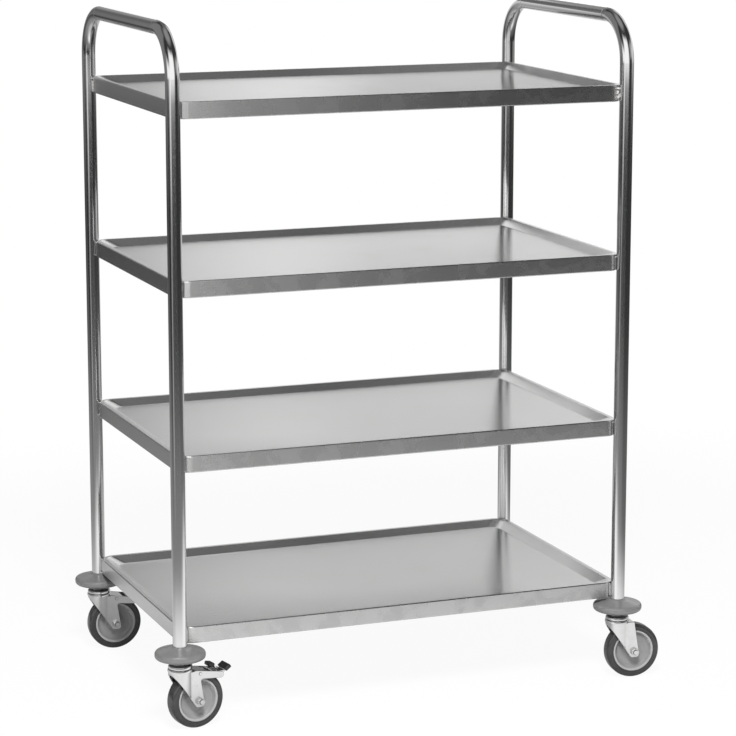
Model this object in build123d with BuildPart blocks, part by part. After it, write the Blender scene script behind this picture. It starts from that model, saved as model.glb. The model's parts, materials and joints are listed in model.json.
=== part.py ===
"""Four-shelf service cart on swivel casters, in millimetres, +Z up, origin on the floor midway between the posts.

X runs along the cart's long side, Y from the front to the back. Each caster is modelled about its own swivel
axis with its wheel trailing towards +X, and is then turned to its resting angle under its post.
"""
import os
from math import atan2, cos, hypot, radians, sin, sqrt, tan

from build123d import *

# Tube frame
tube_d = 25.0
tube_wall = 1.2
handle_rise = 130.0
handle_bend_r = 80.0

# Shelves
shelf_names = ("bottom_shelf", "lower_shelf", "upper_shelf", "top_shelf")
shelf_length = 828.0
shelf_width = 508.0
shelf_corner_r = 27.0
shelf_pitch = 300.0
sheet_t = 1.0
fold_r = 1.0
apron_h = 29.0
return_w = 11.0
rim_w = 8.0
slope_run = 18.0
tray_drop = 11.0
tray_corner_r = 22.0
tray_floor_r = 4.0

# Stiffening channel under each tray
channel_h = 12.0
channel_crown_w = 34.0
channel_flange_w = 16.0
channel_end_gap = 30.0

# Fillet welds between posts and shelf corners
weld_gap = 0.2
weld_r = 3.8
weld_set = 3.0

# Bumper discs
bumper_d = 88.0
bumper_h = 23.5
bumper_foot_d = 58.0
bumper_edge_z = 8.5
bumper_edge_h = 12.0
bumper_edge_r = 5.9
bumper_collar_w = 2.0
bumper_collar_h = 1.0
bumper_socket_floor = 6.0
bumper_shelf_gap = 1.5

# Tube plug and king bolt
plug_h = 38.0
bolt_d = 10.0
bolt_head_d = 17.0
bolt_head_h = 3.5
bolt_head_r = 2.0

# Swivel head
race_d = 43.0
race_h = 4.8
race_split = 0.8
race_edge_r = 0.8
upper_race_d = 42.0
upper_race_h = 4.9
neck_d = 38.0
neck_h = 10.0
ball_d = 5.0
ball_count = 14
ball_pitch_d = 30.0

# Fork
trail = 28.0
fork_t = 2.5
fork_gap = 31.0
fork_edge_r = 0.8
cup_d = 42.0
crease_r = 7.0
crown_gap = 2.0
crown_front = 28.0
crown_rise = 1.5
crown_rise_x = 14.0
crown_rise_h = 8.0
nose_r = 1.0
cheek_corner_r = 3.0
fork_inner_r = 4.0
tab_w = 18.0
tab_drop = 11.0
tab_corner_r = 5.5
dimple_x = 22.5
dimple_drop = 25.5
dimple_d = 3.0
dimple_depth = 0.4

# Wheel
wheel_d = 100.0
tread_w = 25.0
tread_shoulder_r = 6.0
rim_d = 76.0
rim_lip_w = 24.0
rim_lip_h = 3.5
web_w = 7.0
web_root_w = 17.0
hub_d = 21.0
bush_wall = 2.4
axle_d = 8.0
axle_hex_w = 13.0
axle_head_h = 5.3
axle_nut_h = 6.5
axle_thread_end = 2.0

# Brake on the two left casters; places along the sloping arms start at their roots, lever points at the pin
arm_root_x = 21.0
arm_rise = 1.0
arm_slope = 8.0
arm_length = 49.5
arm_h = 15.5
arm_tip_h = 11.6
bridge_end = 24.0
rivet_place = (8.0, 2.0)
rivet_d = 5.0
rivet_h = 0.8
brake_pin_d = 6.0
brake_pin_set = 4.0
brake_travel = 13.0
lever_t = 2.5
lever_strip_w = 12.0
lever_side_play = 0.5
lever_hub_d = 10.0
lever_inner_tip = (-14.5, 14.8)
lever_inner_knee = (-4.0, 14.2)
lever_inner_bend = (0.0, 5.6)
lever_outer_bend = (12.5, 4.8)
lever_outer_tip = (22.0, 13.2)
shoe_w = 6.0
shoe_length = 18.0
shoe_offset = 5.0
shoe_gap = 0.3
cap_t = 6.5
cap_edge_r = 1.4
cap_overhang = 2.0
cap_grip = 0.8
inner_cap_w = 19.0
outer_cap_w = 28.0

# Clearances: a turning fit on a shaft, a fixed fit, and the play between flat faces that turn past each other
running_clearance = 0.05
fixed_clearance = 0.02
face_play = 0.1

# Corners of the cart: side along X, side along Y, resting angle of the caster, and whether it has a brake
corners = {
    "front_left": (-1, -1, 11.0, True),
    "front_right": (1, -1, -5.5, False),
    "back_left": (-1, 1, -1.0, True),
    "back_right": (1, 1, 6.0, False),
}

# Heights, from the floor up
axle_z = wheel_d / 2
crown_bottom = wheel_d + crown_gap
crown_top = crown_bottom + fork_t
arm_root_z = crown_top + arm_rise - arm_h / 2
ball_z = crown_top + race_h + race_split / 2
upper_race_bottom = crown_top + race_h + race_split
neck_bottom = upper_race_bottom + upper_race_h
bumper_bottom = neck_bottom + neck_h
bumper_top = bumper_bottom + bumper_h
tube_bottom = bumper_bottom + bumper_socket_floor
first_rim_z = bumper_top + bumper_shelf_gap + apron_h
rim_heights = [first_rim_z + shelf_pitch * i for i in range(len(shelf_names))]
handle_top = rim_heights[-1] + handle_rise

# The posts stand outside the rounded shelf corners, on their diagonals
tube_r = tube_d / 2
corner_x = shelf_length / 2 - shelf_corner_r
corner_y = shelf_width / 2 - shelf_corner_r
post_reach = shelf_corner_r + tube_r + weld_gap
post_x = corner_x + post_reach / sqrt(2)
post_y = corner_y + post_reach / sqrt(2)

# Half widths across the fork
gap_half = fork_gap / 2
fork_half = gap_half + fork_t
hub_half = gap_half - face_play

# Place of the brake pin along the arms, from their roots
brake_pin_along = arm_length - brake_pin_set

# Upright plane along the brake arms, from their roots, sloping down with them
arm_plane = Plane(
    origin=(arm_root_x, 0, arm_root_z),
    x_dir=(cos(radians(arm_slope)), 0, -sin(radians(arm_slope))),
    z_dir=Plane.XZ.z_dir,
)

os.makedirs("parts", exist_ok=True)


def write(part, name):
    part.label = name
    export_step(part, f"parts/{name}.step")


# Rectangle between two x and two z values, for a sketch on an upright plane
def upright_rectangle(x_low, x_high, z_low, z_high):
    with Locations(((x_low + x_high) / 2, (z_low + z_high) / 2)):
        Rectangle(x_high - x_low, z_high - z_low)


# End frame: one bent tube that makes two posts and the push handle between them
def end_frame(side):
    handle_z = handle_top - tube_r
    with BuildPart() as frame:
        with BuildLine(Plane.YZ.offset(side * post_x)) as path:
            FilletPolyline(
                (-post_y, tube_bottom),
                (-post_y, handle_z),
                (post_y, handle_z),
                (post_y, tube_bottom),
                radius=handle_bend_r,
            )
        with BuildSketch(Plane((side * post_x, -post_y, tube_bottom))):
            Circle(tube_r)
            Circle(tube_r - tube_wall, mode=Mode.SUBTRACT)
        sweep(path=path.line)
    return frame.part


# Rounded rectangle that keeps a margin to the shelf's outline
def inset_outline(margin, corner_r):
    return RectangleRounded(shelf_length - 2 * margin, shelf_width - 2 * margin, corner_r)


# The drawn pan as a solid with its rim at rim_level; grow widens it all round
def pan_form(rim_level, grow):
    with BuildPart() as pan:
        with BuildSketch(Plane.XY.offset(rim_level)):
            inset_outline(rim_w - grow, shelf_corner_r - rim_w + grow)
        with BuildSketch(Plane.XY.offset(rim_level - tray_drop)):
            inset_outline(rim_w + slope_run - grow, tray_corner_r + grow)
        loft(ruled=True)
        fillet(pan.faces().sort_by(Axis.Z)[0].edges(), tray_floor_r + grow)
    return pan.part


# Shelf: a drawn tray with a folded apron and a return flange, rim at z = 0
def shelf_form():
    half_slope = atan2(tray_drop, slope_run) / 2
    with BuildPart() as cavity:
        with BuildSketch(Plane.XY.offset(-sheet_t)):
            inset_outline(sheet_t, shelf_corner_r - sheet_t)
        extrude(amount=-(apron_h - 2 * sheet_t))
        fillet(cavity.faces().sort_by(Axis.Z)[-1].edges(), fold_r)
    with BuildPart() as shelf:
        with BuildSketch():
            inset_outline(0, shelf_corner_r)
        extrude(amount=-apron_h)
        fillet(shelf.faces().sort_by(Axis.Z)[-1].edges(), fold_r + sheet_t)
        add(cavity.part, mode=Mode.SUBTRACT)
        with BuildSketch(Plane.XY.offset(-apron_h)):
            inset_outline(return_w, shelf_corner_r - return_w)
        extrude(amount=sheet_t, mode=Mode.SUBTRACT)
        add(pan_form(-sheet_t, sheet_t * tan(half_slope)))
        add(pan_form(0, 0), mode=Mode.SUBTRACT)
    return shelf.part


# Hat-section channel under a tray floor, the top of its flanges at z = 0
def channel_form():
    half_crown = channel_crown_w / 2
    half_base = half_crown + channel_flange_w
    flange_z = -sheet_t / 2
    crown_z = sheet_t / 2 - channel_h
    length = shelf_length - 2 * (rim_w + slope_run + channel_end_gap)
    with BuildPart() as channel:
        with BuildSketch(Plane.YZ):
            with BuildLine():
                Polyline(
                    (-half_base, flange_z),
                    (-half_crown, flange_z),
                    (-half_crown, crown_z),
                    (half_crown, crown_z),
                    (half_crown, flange_z),
                    (half_base, flange_z),
                )
            trace(line_width=sheet_t)
        extrude(amount=length / 2, both=True)
    return channel.part


# Upright beads in the two hollows between each post and the shelf corner beside it
def weld_beads():
    near_post = tube_r + weld_set
    near_corner = shelf_corner_r + weld_set
    along = (near_corner**2 - near_post**2 + post_reach**2) / (2 * post_reach)
    aside = sqrt(near_corner**2 - along**2)
    bead_low = (along - aside) / sqrt(2)
    bead_high = (along + aside) / sqrt(2)
    with BuildPart() as beads:
        for rim_z in rim_heights:
            with BuildSketch(Plane.XY.offset(rim_z - apron_h)):
                for side_x, side_y, _, _ in corners.values():
                    with Locations(
                        (side_x * (corner_x + bead_low), side_y * (corner_y + bead_high)),
                        (side_x * (corner_x + bead_high), side_y * (corner_y + bead_low)),
                    ):
                        Circle(weld_r)
                    with Locations((side_x * corner_x, side_y * corner_y)):
                        Circle(shelf_corner_r, mode=Mode.SUBTRACT)
                    with Locations((side_x * post_x, side_y * post_y)):
                        Circle(tube_r, mode=Mode.SUBTRACT)
            extrude(amount=apron_h - fold_r - sheet_t)
    return beads.part


# Bumper disc: a saucer with a socket for the tube end and a hole for the king bolt
def bumper_form():
    bore_r = bolt_d / 2 + fixed_clearance
    socket_r = tube_r + fixed_clearance
    edge_z = bumper_bottom + bumper_edge_z
    with BuildPart() as bumper:
        with BuildSketch(Plane.XZ):
            with BuildLine():
                Polyline(
                    (bore_r, bumper_bottom),
                    (bumper_foot_d / 2, bumper_bottom),
                    (bumper_d / 2, edge_z - bumper_edge_h / 2),
                    (bumper_d / 2, edge_z + bumper_edge_h / 2),
                    (socket_r + bumper_collar_w, bumper_top - bumper_collar_h),
                    (socket_r + bumper_collar_w, bumper_top),
                    (socket_r, bumper_top),
                    (socket_r, tube_bottom),
                    (bore_r, tube_bottom),
                    close=True,
                )
            make_face()
            fillet(vertices().sort_by(Axis.X)[-2:], bumper_edge_r)
        revolve(axis=Axis.Z)
    return bumper.part


# Plug inside the tube end, tapped for the king bolt
def plug_form():
    with BuildPart() as plug:
        with BuildSketch(Plane.XY.offset(tube_bottom)):
            Circle(tube_r - tube_wall - fixed_clearance)
            Circle(bolt_d / 2 + fixed_clearance, mode=Mode.SUBTRACT)
        extrude(amount=plug_h)
    return plug.part


# King bolt: carries the fork on its head and screws up through bumper and plug
def king_bolt_form():
    head_top = crown_bottom - face_play
    with BuildPart() as bolt:
        with BuildSketch(Plane.XY.offset(head_top - bolt_head_h)):
            Circle(bolt_head_d / 2)
        extrude(amount=bolt_head_h)
        fillet(bolt.faces().sort_by(Axis.Z)[0].edges(), bolt_head_r)
        with BuildSketch(Plane.XY.offset(head_top)):
            Circle(bolt_d / 2)
        extrude(amount=tube_bottom + plug_h - head_top)
    return bolt.part


# Ring-shaped track that the balls run in, cut from a race
def cut_ball_track():
    with Locations((0, 0, ball_z)):
        Torus(ball_pitch_d / 2, ball_d / 2 + running_clearance, mode=Mode.SUBTRACT)


# Fixed upper race: a neck under the bumper and a wider ring with a ball track below
def upper_race_form():
    with BuildPart() as race:
        with BuildSketch(Plane.XY.offset(upper_race_bottom)):
            Circle(upper_race_d / 2)
        extrude(amount=upper_race_h)
        fillet(race.edges().filter_by(GeomType.CIRCLE), race_edge_r)
        with BuildSketch(Plane.XY.offset(neck_bottom)):
            Circle(neck_d / 2)
        extrude(amount=neck_h)
        cut_ball_track()
        with BuildSketch(Plane.XY.offset(upper_race_bottom)):
            Circle(bolt_d / 2 + fixed_clearance)
        extrude(amount=upper_race_h + neck_h, mode=Mode.SUBTRACT)
    return race.part


# Ring of balls between the two races
def ball_ring():
    with BuildPart() as balls:
        with PolarLocations(ball_pitch_d / 2, ball_count):
            with Locations((0, 0, ball_z)):
                Sphere(ball_d / 2)
    return balls.part


# Fork seen from above: a cup about the swivel axis that runs into two flat cheeks; inset gives its inside
def fork_plan(reach, inset):
    with BuildSketch() as plan:
        Circle(cup_d / 2 - inset)
        with Locations((reach / 2, 0)):
            Rectangle(reach, 2 * (fork_half - inset))
        fillet(plan.vertices().sort_by(Axis.X)[:2], crease_r + inset)
    return plan.sketch


# Brake arm seen from the side, from its root at the sketch's origin
def arm_outline():
    with BuildSketch() as arm:
        Circle(arm_h / 2)
        with Locations((arm_length, 0)):
            Circle(arm_tip_h / 2)
        make_hull()
    return arm.sketch


# Fork seen from the side: crown, cheek and axle tab, with a raised front or a brake arm
def cheek_outline(braked):
    tab_z = axle_z - tab_drop + tab_corner_r
    tab_reach = tab_w / 2 - tab_corner_r
    with BuildSketch() as cheek:
        with Locations((-cup_d / 2, crown_top - nose_r)):
            Circle(nose_r)
        with Locations((crown_front - cheek_corner_r, crown_top - cheek_corner_r)):
            Circle(cheek_corner_r)
        with Locations((trail - tab_reach, tab_z), (trail + tab_reach, tab_z)):
            Circle(tab_corner_r)
        make_hull()
        if braked:
            with Locations(Location((arm_root_x, arm_root_z, 0), (0, 0, -arm_slope))):
                add(arm_outline())
        else:
            with Locations(((crown_rise_x + crown_front) / 2, crown_top + crown_rise - crown_rise_h / 2)):
                RectangleRounded(crown_front - crown_rise_x, crown_rise_h, cheek_corner_r)
        offset(amount=fork_inner_r)
        offset(amount=-fork_inner_r)
    return cheek.sketch


# Fork: crown and two cheeks pressed from one plate, with the lower race on top
def fork_form(braked):
    arm_end = arm_length + arm_tip_h
    reach = arm_root_x + arm_end if braked else trail + tab_w
    raised_end = arm_root_x - fork_t if braked else crown_front
    with BuildPart() as fork:
        with BuildSketch(Plane.XZ):
            add(cheek_outline(braked))
        extrude(amount=cup_d, both=True)
        top = fork.part.bounding_box().max.Z
        add(fork_plan(reach, 0))
        extrude(amount=top, mode=Mode.INTERSECT)
        side_edges = fork.edges().filter_by(Axis.Z, reverse=True).filter_by(Axis.Y, reverse=True)
        fillet(side_edges, fork_edge_r)
        # Room between the cheeks, above the crown and between the brake arms
        add(fork_plan(reach, fork_t))
        extrude(amount=crown_bottom, mode=Mode.SUBTRACT)
        with BuildSketch(Plane.XZ):
            upright_rectangle(0, raised_end, crown_top, top)
        extrude(amount=gap_half, both=True, mode=Mode.SUBTRACT)
        if braked:
            with BuildSketch(arm_plane):
                upright_rectangle(0, arm_end, -arm_h, arm_h / 2 - fork_t)
                upright_rectangle(bridge_end, arm_end, -arm_h, arm_h)
            extrude(amount=gap_half, both=True, mode=Mode.SUBTRACT)
        # Lower race, its ball track and the hole for the king bolt
        with BuildSketch(Plane.XY.offset(crown_top - fork_edge_r)):
            Circle(race_d / 2)
        extrude(amount=fork_edge_r + race_h)
        fillet(fork.faces().filter_by(Axis.Z).sort_by(Axis.Z)[-1].edges(), race_edge_r)
        with BuildSketch(Plane.XY.offset(crown_bottom)):
            Circle(bolt_d / 2 + running_clearance)
        extrude(amount=fork_t + race_h, mode=Mode.SUBTRACT)
        cut_ball_track()
        # Axle holes, and on a braked fork the pin holes, rivets and dimples
        with BuildSketch(Plane.XZ):
            with Locations((trail, axle_z)):
                Circle(axle_d / 2 + fixed_clearance)
        extrude(amount=fork_half, both=True, mode=Mode.SUBTRACT)
        if braked:
            with BuildSketch(arm_plane):
                with Locations((brake_pin_along, 0)):
                    Circle(brake_pin_d / 2 + fixed_clearance)
            extrude(amount=fork_half, both=True, mode=Mode.SUBTRACT)
            for side in (-1, 1):
                with BuildSketch(arm_plane.offset(side * fork_half)):
                    with Locations(rivet_place):
                        Circle(rivet_d / 2)
                extrude(amount=side * rivet_h)
                with BuildSketch(Plane.XZ.offset(side * fork_half)):
                    with Locations((dimple_x, crown_top - dimple_drop)):
                        Circle(dimple_d / 2)
                extrude(amount=-side * dimple_depth, mode=Mode.SUBTRACT)
    return fork.part


# Axle bolt, its head against the back cheek
def axle_bolt_form():
    with BuildPart() as bolt:
        with BuildSketch(Plane.XZ.offset(-fork_half - axle_head_h)):
            with Locations((trail, axle_z)):
                RegularPolygon(axle_hex_w / 2, 6, major_radius=False)
        extrude(amount=axle_head_h)
        with BuildSketch(Plane.XZ.offset(-fork_half)):
            with Locations((trail, axle_z)):
                Circle(axle_d / 2)
        extrude(amount=2 * fork_half + axle_nut_h + axle_thread_end)
    return bolt.part


# Axle nut on the front cheek
def axle_nut_form():
    with BuildPart() as nut:
        with BuildSketch(Plane.XZ.offset(fork_half)):
            with Locations((trail, axle_z)):
                RegularPolygon(axle_hex_w / 2, 6, major_radius=False)
                Circle(axle_d / 2 + fixed_clearance, mode=Mode.SUBTRACT)
        extrude(amount=axle_nut_h)
    return nut.part


wheel_place = Location((trail, 0, axle_z))
bush_r = axle_d / 2 + running_clearance + bush_wall
rim_bore_r = bush_r + fixed_clearance


# Tyre, turned about Y before it is set on the axle
def tyre_form():
    bore_r = rim_d / 2 + fixed_clearance
    with BuildPart() as tyre:
        with BuildSketch():
            with Locations(((bore_r + wheel_d / 2) / 2, 0)):
                Rectangle(wheel_d / 2 - bore_r, tread_w)
            fillet(vertices().sort_by(Axis.X)[-2:], tread_shoulder_r)
        revolve(axis=Axis.Y)
    return tyre.part.moved(wheel_place)


# Rim: lip, dished web and hub
def rim_form():
    lip_r = rim_d / 2 - rim_lip_h
    side = [
        (rim_bore_r, hub_half),
        (hub_d / 2, hub_half),
        (hub_d / 2, web_root_w / 2),
        (lip_r, web_w / 2),
        (lip_r, rim_lip_w / 2),
        (rim_d / 2, rim_lip_w / 2),
    ]
    with BuildPart() as rim:
        with BuildSketch():
            with BuildLine():
                Polyline(*side, *[(r, -y) for r, y in reversed(side)], close=True)
            make_face()
        revolve(axis=Axis.Y)
    return rim.part.moved(wheel_place)


# Bush in the hub, running on the axle bolt
def bush_form():
    with BuildPart() as bush:
        with BuildSketch(Plane.XZ):
            with Locations((trail, axle_z)):
                Circle(bush_r)
                Circle(axle_d / 2 + running_clearance, mode=Mode.SUBTRACT)
        extrude(amount=hub_half, both=True)
    return bush.part


# A point of the brake lever on the arm plane
def lever_point(point):
    return (brake_pin_along + point[0], point[1])


# Middle of the brake shoe, from the pin, with the lever at rest; pressing the lever turns it on to the tread
def shoe_middle():
    slope = radians(arm_slope)
    drop = axle_z - arm_root_z
    axle_along = (trail - arm_root_x) * cos(slope) - drop * sin(slope)
    axle_up = (trail - arm_root_x) * sin(slope) + drop * cos(slope)
    orbit_r = wheel_d / 2 + shoe_gap + shoe_w / 2
    angle = atan2(-axle_up, brake_pin_along - axle_along) - shoe_offset / orbit_r
    pressed = Vector(axle_along - brake_pin_along + orbit_r * cos(angle), axle_up + orbit_r * sin(angle))
    rest = pressed.rotate(Axis.Z, brake_travel)
    return (rest.X, rest.Y)


# Brake lever: a bent strip on a cross plate and hub, with a shoe that swings against the tread
def lever_form():
    shoe = shoe_middle()
    strip = (lever_inner_tip, lever_inner_knee, lever_inner_bend, lever_outer_bend, lever_outer_tip)
    with BuildPart() as lever:
        with BuildSketch(arm_plane):
            with BuildLine():
                Polyline(*[lever_point(point) for point in strip])
            trace(line_width=lever_t)
        extrude(amount=lever_strip_w / 2, both=True)
        with BuildSketch(arm_plane):
            with BuildLine():
                Line(lever_point(lever_inner_bend), lever_point(lever_outer_bend))
            trace(line_width=lever_t)
            with Locations(lever_point((0, 0))):
                Circle(lever_hub_d / 2)
        extrude(amount=gap_half - lever_side_play, both=True)
        with BuildSketch(arm_plane):
            with BuildLine():
                Line(lever_point((0, 0)), lever_point(shoe))
            trace(line_width=shoe_w)
            with Locations(lever_point(shoe)):
                Circle(shoe_w / 2)
        extrude(amount=shoe_length / 2, both=True)
        with BuildSketch(arm_plane):
            with Locations(lever_point((0, 0))):
                Circle(brake_pin_d / 2 + running_clearance)
        extrude(amount=fork_half, both=True, mode=Mode.SUBTRACT)
    return lever.part


# Moulded caps on the two ends of the lever, for the foot
def pedal_caps(lever):
    ends = (
        (lever_inner_knee, lever_inner_tip, inner_cap_w),
        (lever_outer_bend, lever_outer_tip, outer_cap_w),
    )
    with BuildPart() as caps:
        for bend, tip, width in ends:
            run = hypot(tip[0] - bend[0], tip[1] - bend[1])
            along = ((tip[0] - bend[0]) / run, (tip[1] - bend[1]) / run)
            start = run * (1 - cap_grip)
            stop = run + cap_overhang
            with BuildSketch(arm_plane):
                with BuildLine():
                    Line(
                        lever_point((bend[0] + along[0] * start, bend[1] + along[1] * start)),
                        lever_point((bend[0] + along[0] * stop, bend[1] + along[1] * stop)),
                    )
                trace(line_width=cap_t)
                fillet(vertices(), cap_edge_r)
            extrude(amount=width / 2, both=True)
        add(lever, mode=Mode.SUBTRACT)
    return caps.part


# Pin that the lever turns on, flush with the outsides of the arms
def brake_pin_form():
    with BuildPart() as pin:
        with BuildSketch(arm_plane):
            with Locations(lever_point((0, 0))):
                Circle(brake_pin_d / 2)
        extrude(amount=fork_half, both=True)
    return pin.part


write(end_frame(-1), "left_end_frame")
write(end_frame(1), "right_end_frame")

shelf = shelf_form()
for shelf_name, rim_z in zip(shelf_names, rim_heights):
    write(shelf.moved(Location((0, 0, rim_z))), shelf_name)
write(weld_beads(), "shelf_welds")

channel = channel_form()
with BuildPart() as stiffeners:
    with Locations([(0, 0, rim_z - tray_drop - sheet_t) for rim_z in rim_heights]):
        add(channel)
write(stiffeners.part, "shelf_stiffeners")

lever = lever_form()
fixed_pieces = {
    "bumper": bumper_form(),
    "tube_plug": plug_form(),
    "king_bolt": king_bolt_form(),
    "upper_race": upper_race_form(),
    "bearing_balls": ball_ring(),
    "axle_bolt": axle_bolt_form(),
    "axle_nut": axle_nut_form(),
    "tyre": tyre_form(),
    "rim": rim_form(),
    "bush": bush_form(),
}
plain_pieces = {"fork": fork_form(False)}
brake_pieces = {
    "fork": fork_form(True),
    "brake_lever": lever,
    "brake_pedal": pedal_caps(lever),
    "brake_pin": brake_pin_form(),
}
for corner, (side_x, side_y, rest_angle, braked) in corners.items():
    place = Location((side_x * post_x, side_y * post_y, 0), (0, 0, rest_angle))
    pieces = fixed_pieces | (brake_pieces if braked else plain_pieces)
    for piece_name, piece in pieces.items():
        write(piece.moved(place), f"{corner}_{piece_name}")
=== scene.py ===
import json
import math
import random

import bmesh
import bpy
from mathutils import Matrix, Vector, noise


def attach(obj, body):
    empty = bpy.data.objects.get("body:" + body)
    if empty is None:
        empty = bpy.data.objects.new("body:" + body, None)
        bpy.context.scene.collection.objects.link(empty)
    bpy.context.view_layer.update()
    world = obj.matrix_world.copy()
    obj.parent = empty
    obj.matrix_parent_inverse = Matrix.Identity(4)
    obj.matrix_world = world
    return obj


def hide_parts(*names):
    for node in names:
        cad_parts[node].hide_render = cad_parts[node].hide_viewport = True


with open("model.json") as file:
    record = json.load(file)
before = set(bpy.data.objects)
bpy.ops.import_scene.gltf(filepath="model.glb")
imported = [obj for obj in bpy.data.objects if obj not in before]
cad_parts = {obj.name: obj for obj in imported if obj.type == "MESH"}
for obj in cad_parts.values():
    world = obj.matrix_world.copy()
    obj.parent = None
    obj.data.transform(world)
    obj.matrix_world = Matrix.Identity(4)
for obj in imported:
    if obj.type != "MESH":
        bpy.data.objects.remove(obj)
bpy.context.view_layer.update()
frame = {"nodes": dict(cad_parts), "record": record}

scene = bpy.context.scene
scene.view_settings.view_transform = "Standard"
nodes = frame["nodes"]
mm = 0.001
print("frame loaded,", len(nodes), "solids")

# where the posts stand, and how each caster is turned (degrees) and braked
posts = {"X": 415.0721 * mm, "Y": 255.0721 * mm}
corners = {
    "front_left": {"sideX": -1, "sideY": -1, "turn": 11.0, "brake": True},
    "front_right": {"sideX": 1, "sideY": -1, "turn": -5.5, "brake": False},
    "back_left": {"sideX": -1, "sideY": 1, "turn": -1.0, "brake": True},
    "back_right": {"sideX": 1, "sideY": 1, "turn": 6.0, "brake": False},
}
rimHeights = {
    "bottom_shelf": 179.0 * mm,
    "lower_shelf": 479.0 * mm,
    "upper_shelf": 779.0 * mm,
    "top_shelf": 1079.0 * mm,
}


def linkNew(name, data):
    made = bpy.data.objects.new(name, data)
    scene.collection.objects.link(made)
    return made


def aim(made, place, direction):
    made.location = place
    made.rotation_mode = "QUATERNION"
    made.rotation_quaternion = direction.to_track_quat("-Z", "Y")


# camera
shot = {"eye": (-1.7804, -4.6776, 1.5508), "yaw": 21.14, "pitch": 11.24, "lens": 137.3, "sensor": 36.0}


def makeCamera():
    camera = linkNew("photoCamera", bpy.data.cameras.new("photoCamera"))
    yaw = math.radians(shot["yaw"])
    pitch = math.radians(shot["pitch"])
    look = Vector((math.sin(yaw) * math.cos(pitch), math.cos(yaw) * math.cos(pitch), -math.sin(pitch)))
    aim(camera, shot["eye"], look)
    camera.data.sensor_width = shot["sensor"]
    camera.data.lens = shot["lens"]
    scene.camera = camera


makeCamera()
print("camera set")


# node helpers: a value is either a socket to link or a constant to set
def plug(tree, value, socket):
    if isinstance(value, bpy.types.NodeSocket):
        tree.links.new(value, socket)
    else:
        socket.default_value = value


# named values go to the node's sockets or to its own settings
def addNode(tree, kind, **values):
    made = tree.nodes.new(kind)
    for key, value in values.items():
        if key in made.inputs:
            plug(tree, value, made.inputs[key])
        else:
            setattr(made, key, value)
    return made


def maths(tree, operation, a, b=0.0, clamp=False):
    made = addNode(tree, "ShaderNodeMath", operation=operation, use_clamp=clamp)
    plug(tree, a, made.inputs[0])
    plug(tree, b, made.inputs[1])
    return made.outputs[0]


def total(tree, a, b):
    return maths(tree, "ADD", a, b)


def less(tree, a, b):
    return maths(tree, "SUBTRACT", a, b)


def product(tree, a, b):
    return maths(tree, "MULTIPLY", a, b)


def size(tree, a):
    return maths(tree, "ABSOLUTE", a)


def distance(tree, a, b):
    return maths(tree, "SQRT", total(tree, product(tree, a, a), product(tree, b, b)))


def bearingOf(tree, aside, ahead):
    return maths(tree, "DEGREES", maths(tree, "ARCTAN2", aside, ahead))


def vectorMaths(tree, operation, a, b=(0.0, 0.0, 0.0)):
    made = addNode(tree, "ShaderNodeVectorMath", operation=operation)
    plug(tree, a, made.inputs[0])
    plug(tree, b, made.inputs[1])
    return made.outputs["Vector"]


# a smooth step from one span of values to another
def remap(tree, value, fromLow, fromHigh, toLow=0.0, toHigh=1.0):
    made = addNode(tree, "ShaderNodeMapRange", interpolation_type="SMOOTHSTEP")
    spans = {"Value": value, "From Min": fromLow, "From Max": fromHigh, "To Min": toLow, "To Max": toHigh}
    for label, given in spans.items():
        plug(tree, given, made.inputs[label])
    return made.outputs["Result"]


# 1 between low and high, each with its own soft edge, and 0 outside
def window(tree, value, span):
    low, high, softLow, softHigh = span
    rising = remap(tree, value, low - softLow, low + softLow)
    falling = remap(tree, value, high - softHigh, high + softHigh, 1.0, 0.0)
    return product(tree, rising, falling)


def mixColour(tree, factor, a, b):
    made = addNode(tree, "ShaderNodeMix", data_type="RGBA")
    plug(tree, factor, made.inputs[0])
    plug(tree, a, made.inputs[6])
    plug(tree, b, made.inputs[7])
    return made.outputs[2]


def mixValue(tree, factor, a, b):
    made = addNode(tree, "ShaderNodeMix")
    plug(tree, factor, made.inputs[0])
    plug(tree, a, made.inputs[2])
    plug(tree, b, made.inputs[3])
    return made.outputs[0]


def grey(level, warm=0.0):
    return (level * (1 + warm), level, level * (1 - warm), 1.0)


def objectPlace(tree):
    return addNode(tree, "ShaderNodeTexCoord").outputs["Object"]


def geometry(tree, label):
    return addNode(tree, "ShaderNodeNewGeometry").outputs[label]


def axesOf(tree, vector):
    return addNode(tree, "ShaderNodeSeparateXYZ", Vector=vector).outputs


def cloud(tree, place, **values):
    return addNode(tree, "ShaderNodeTexNoise", Vector=place, **values).outputs["Fac"]


# a node group with its inputs' defaults: triples are vectors, the rest plain values
def newGroup(name, results, **inputs):
    tree = bpy.data.node_groups.new(name, "ShaderNodeTree")
    for label, value in inputs.items():
        kind = "NodeSocketVector" if isinstance(value, tuple) else "NodeSocketFloat"
        tree.interface.new_socket(label, in_out="INPUT", socket_type=kind).default_value = value
    for label in results:
        tree.interface.new_socket(label, in_out="OUTPUT", socket_type="NodeSocketFloat")
    return tree, tree.nodes.new("NodeGroupInput").outputs, tree.nodes.new("NodeGroupOutput").inputs


# rubbing marks: noise drawn out along one direction
def makeRubbingMarks():
    tree, given, made = newGroup("rubbingMarks", ["Marks"], Place=(0.0, 0.0, 0.0), Stretch=(1.0, 1.0, 1.0))
    drawn = vectorMaths(tree, "MULTIPLY", given["Place"], given["Stretch"])
    plug(tree, cloud(tree, drawn, Scale=1.0, Detail=3.0, Roughness=0.6), made["Marks"])
    return tree


# hand marks and faint smears
smearEdge = (-0.12, 0.2)


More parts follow.
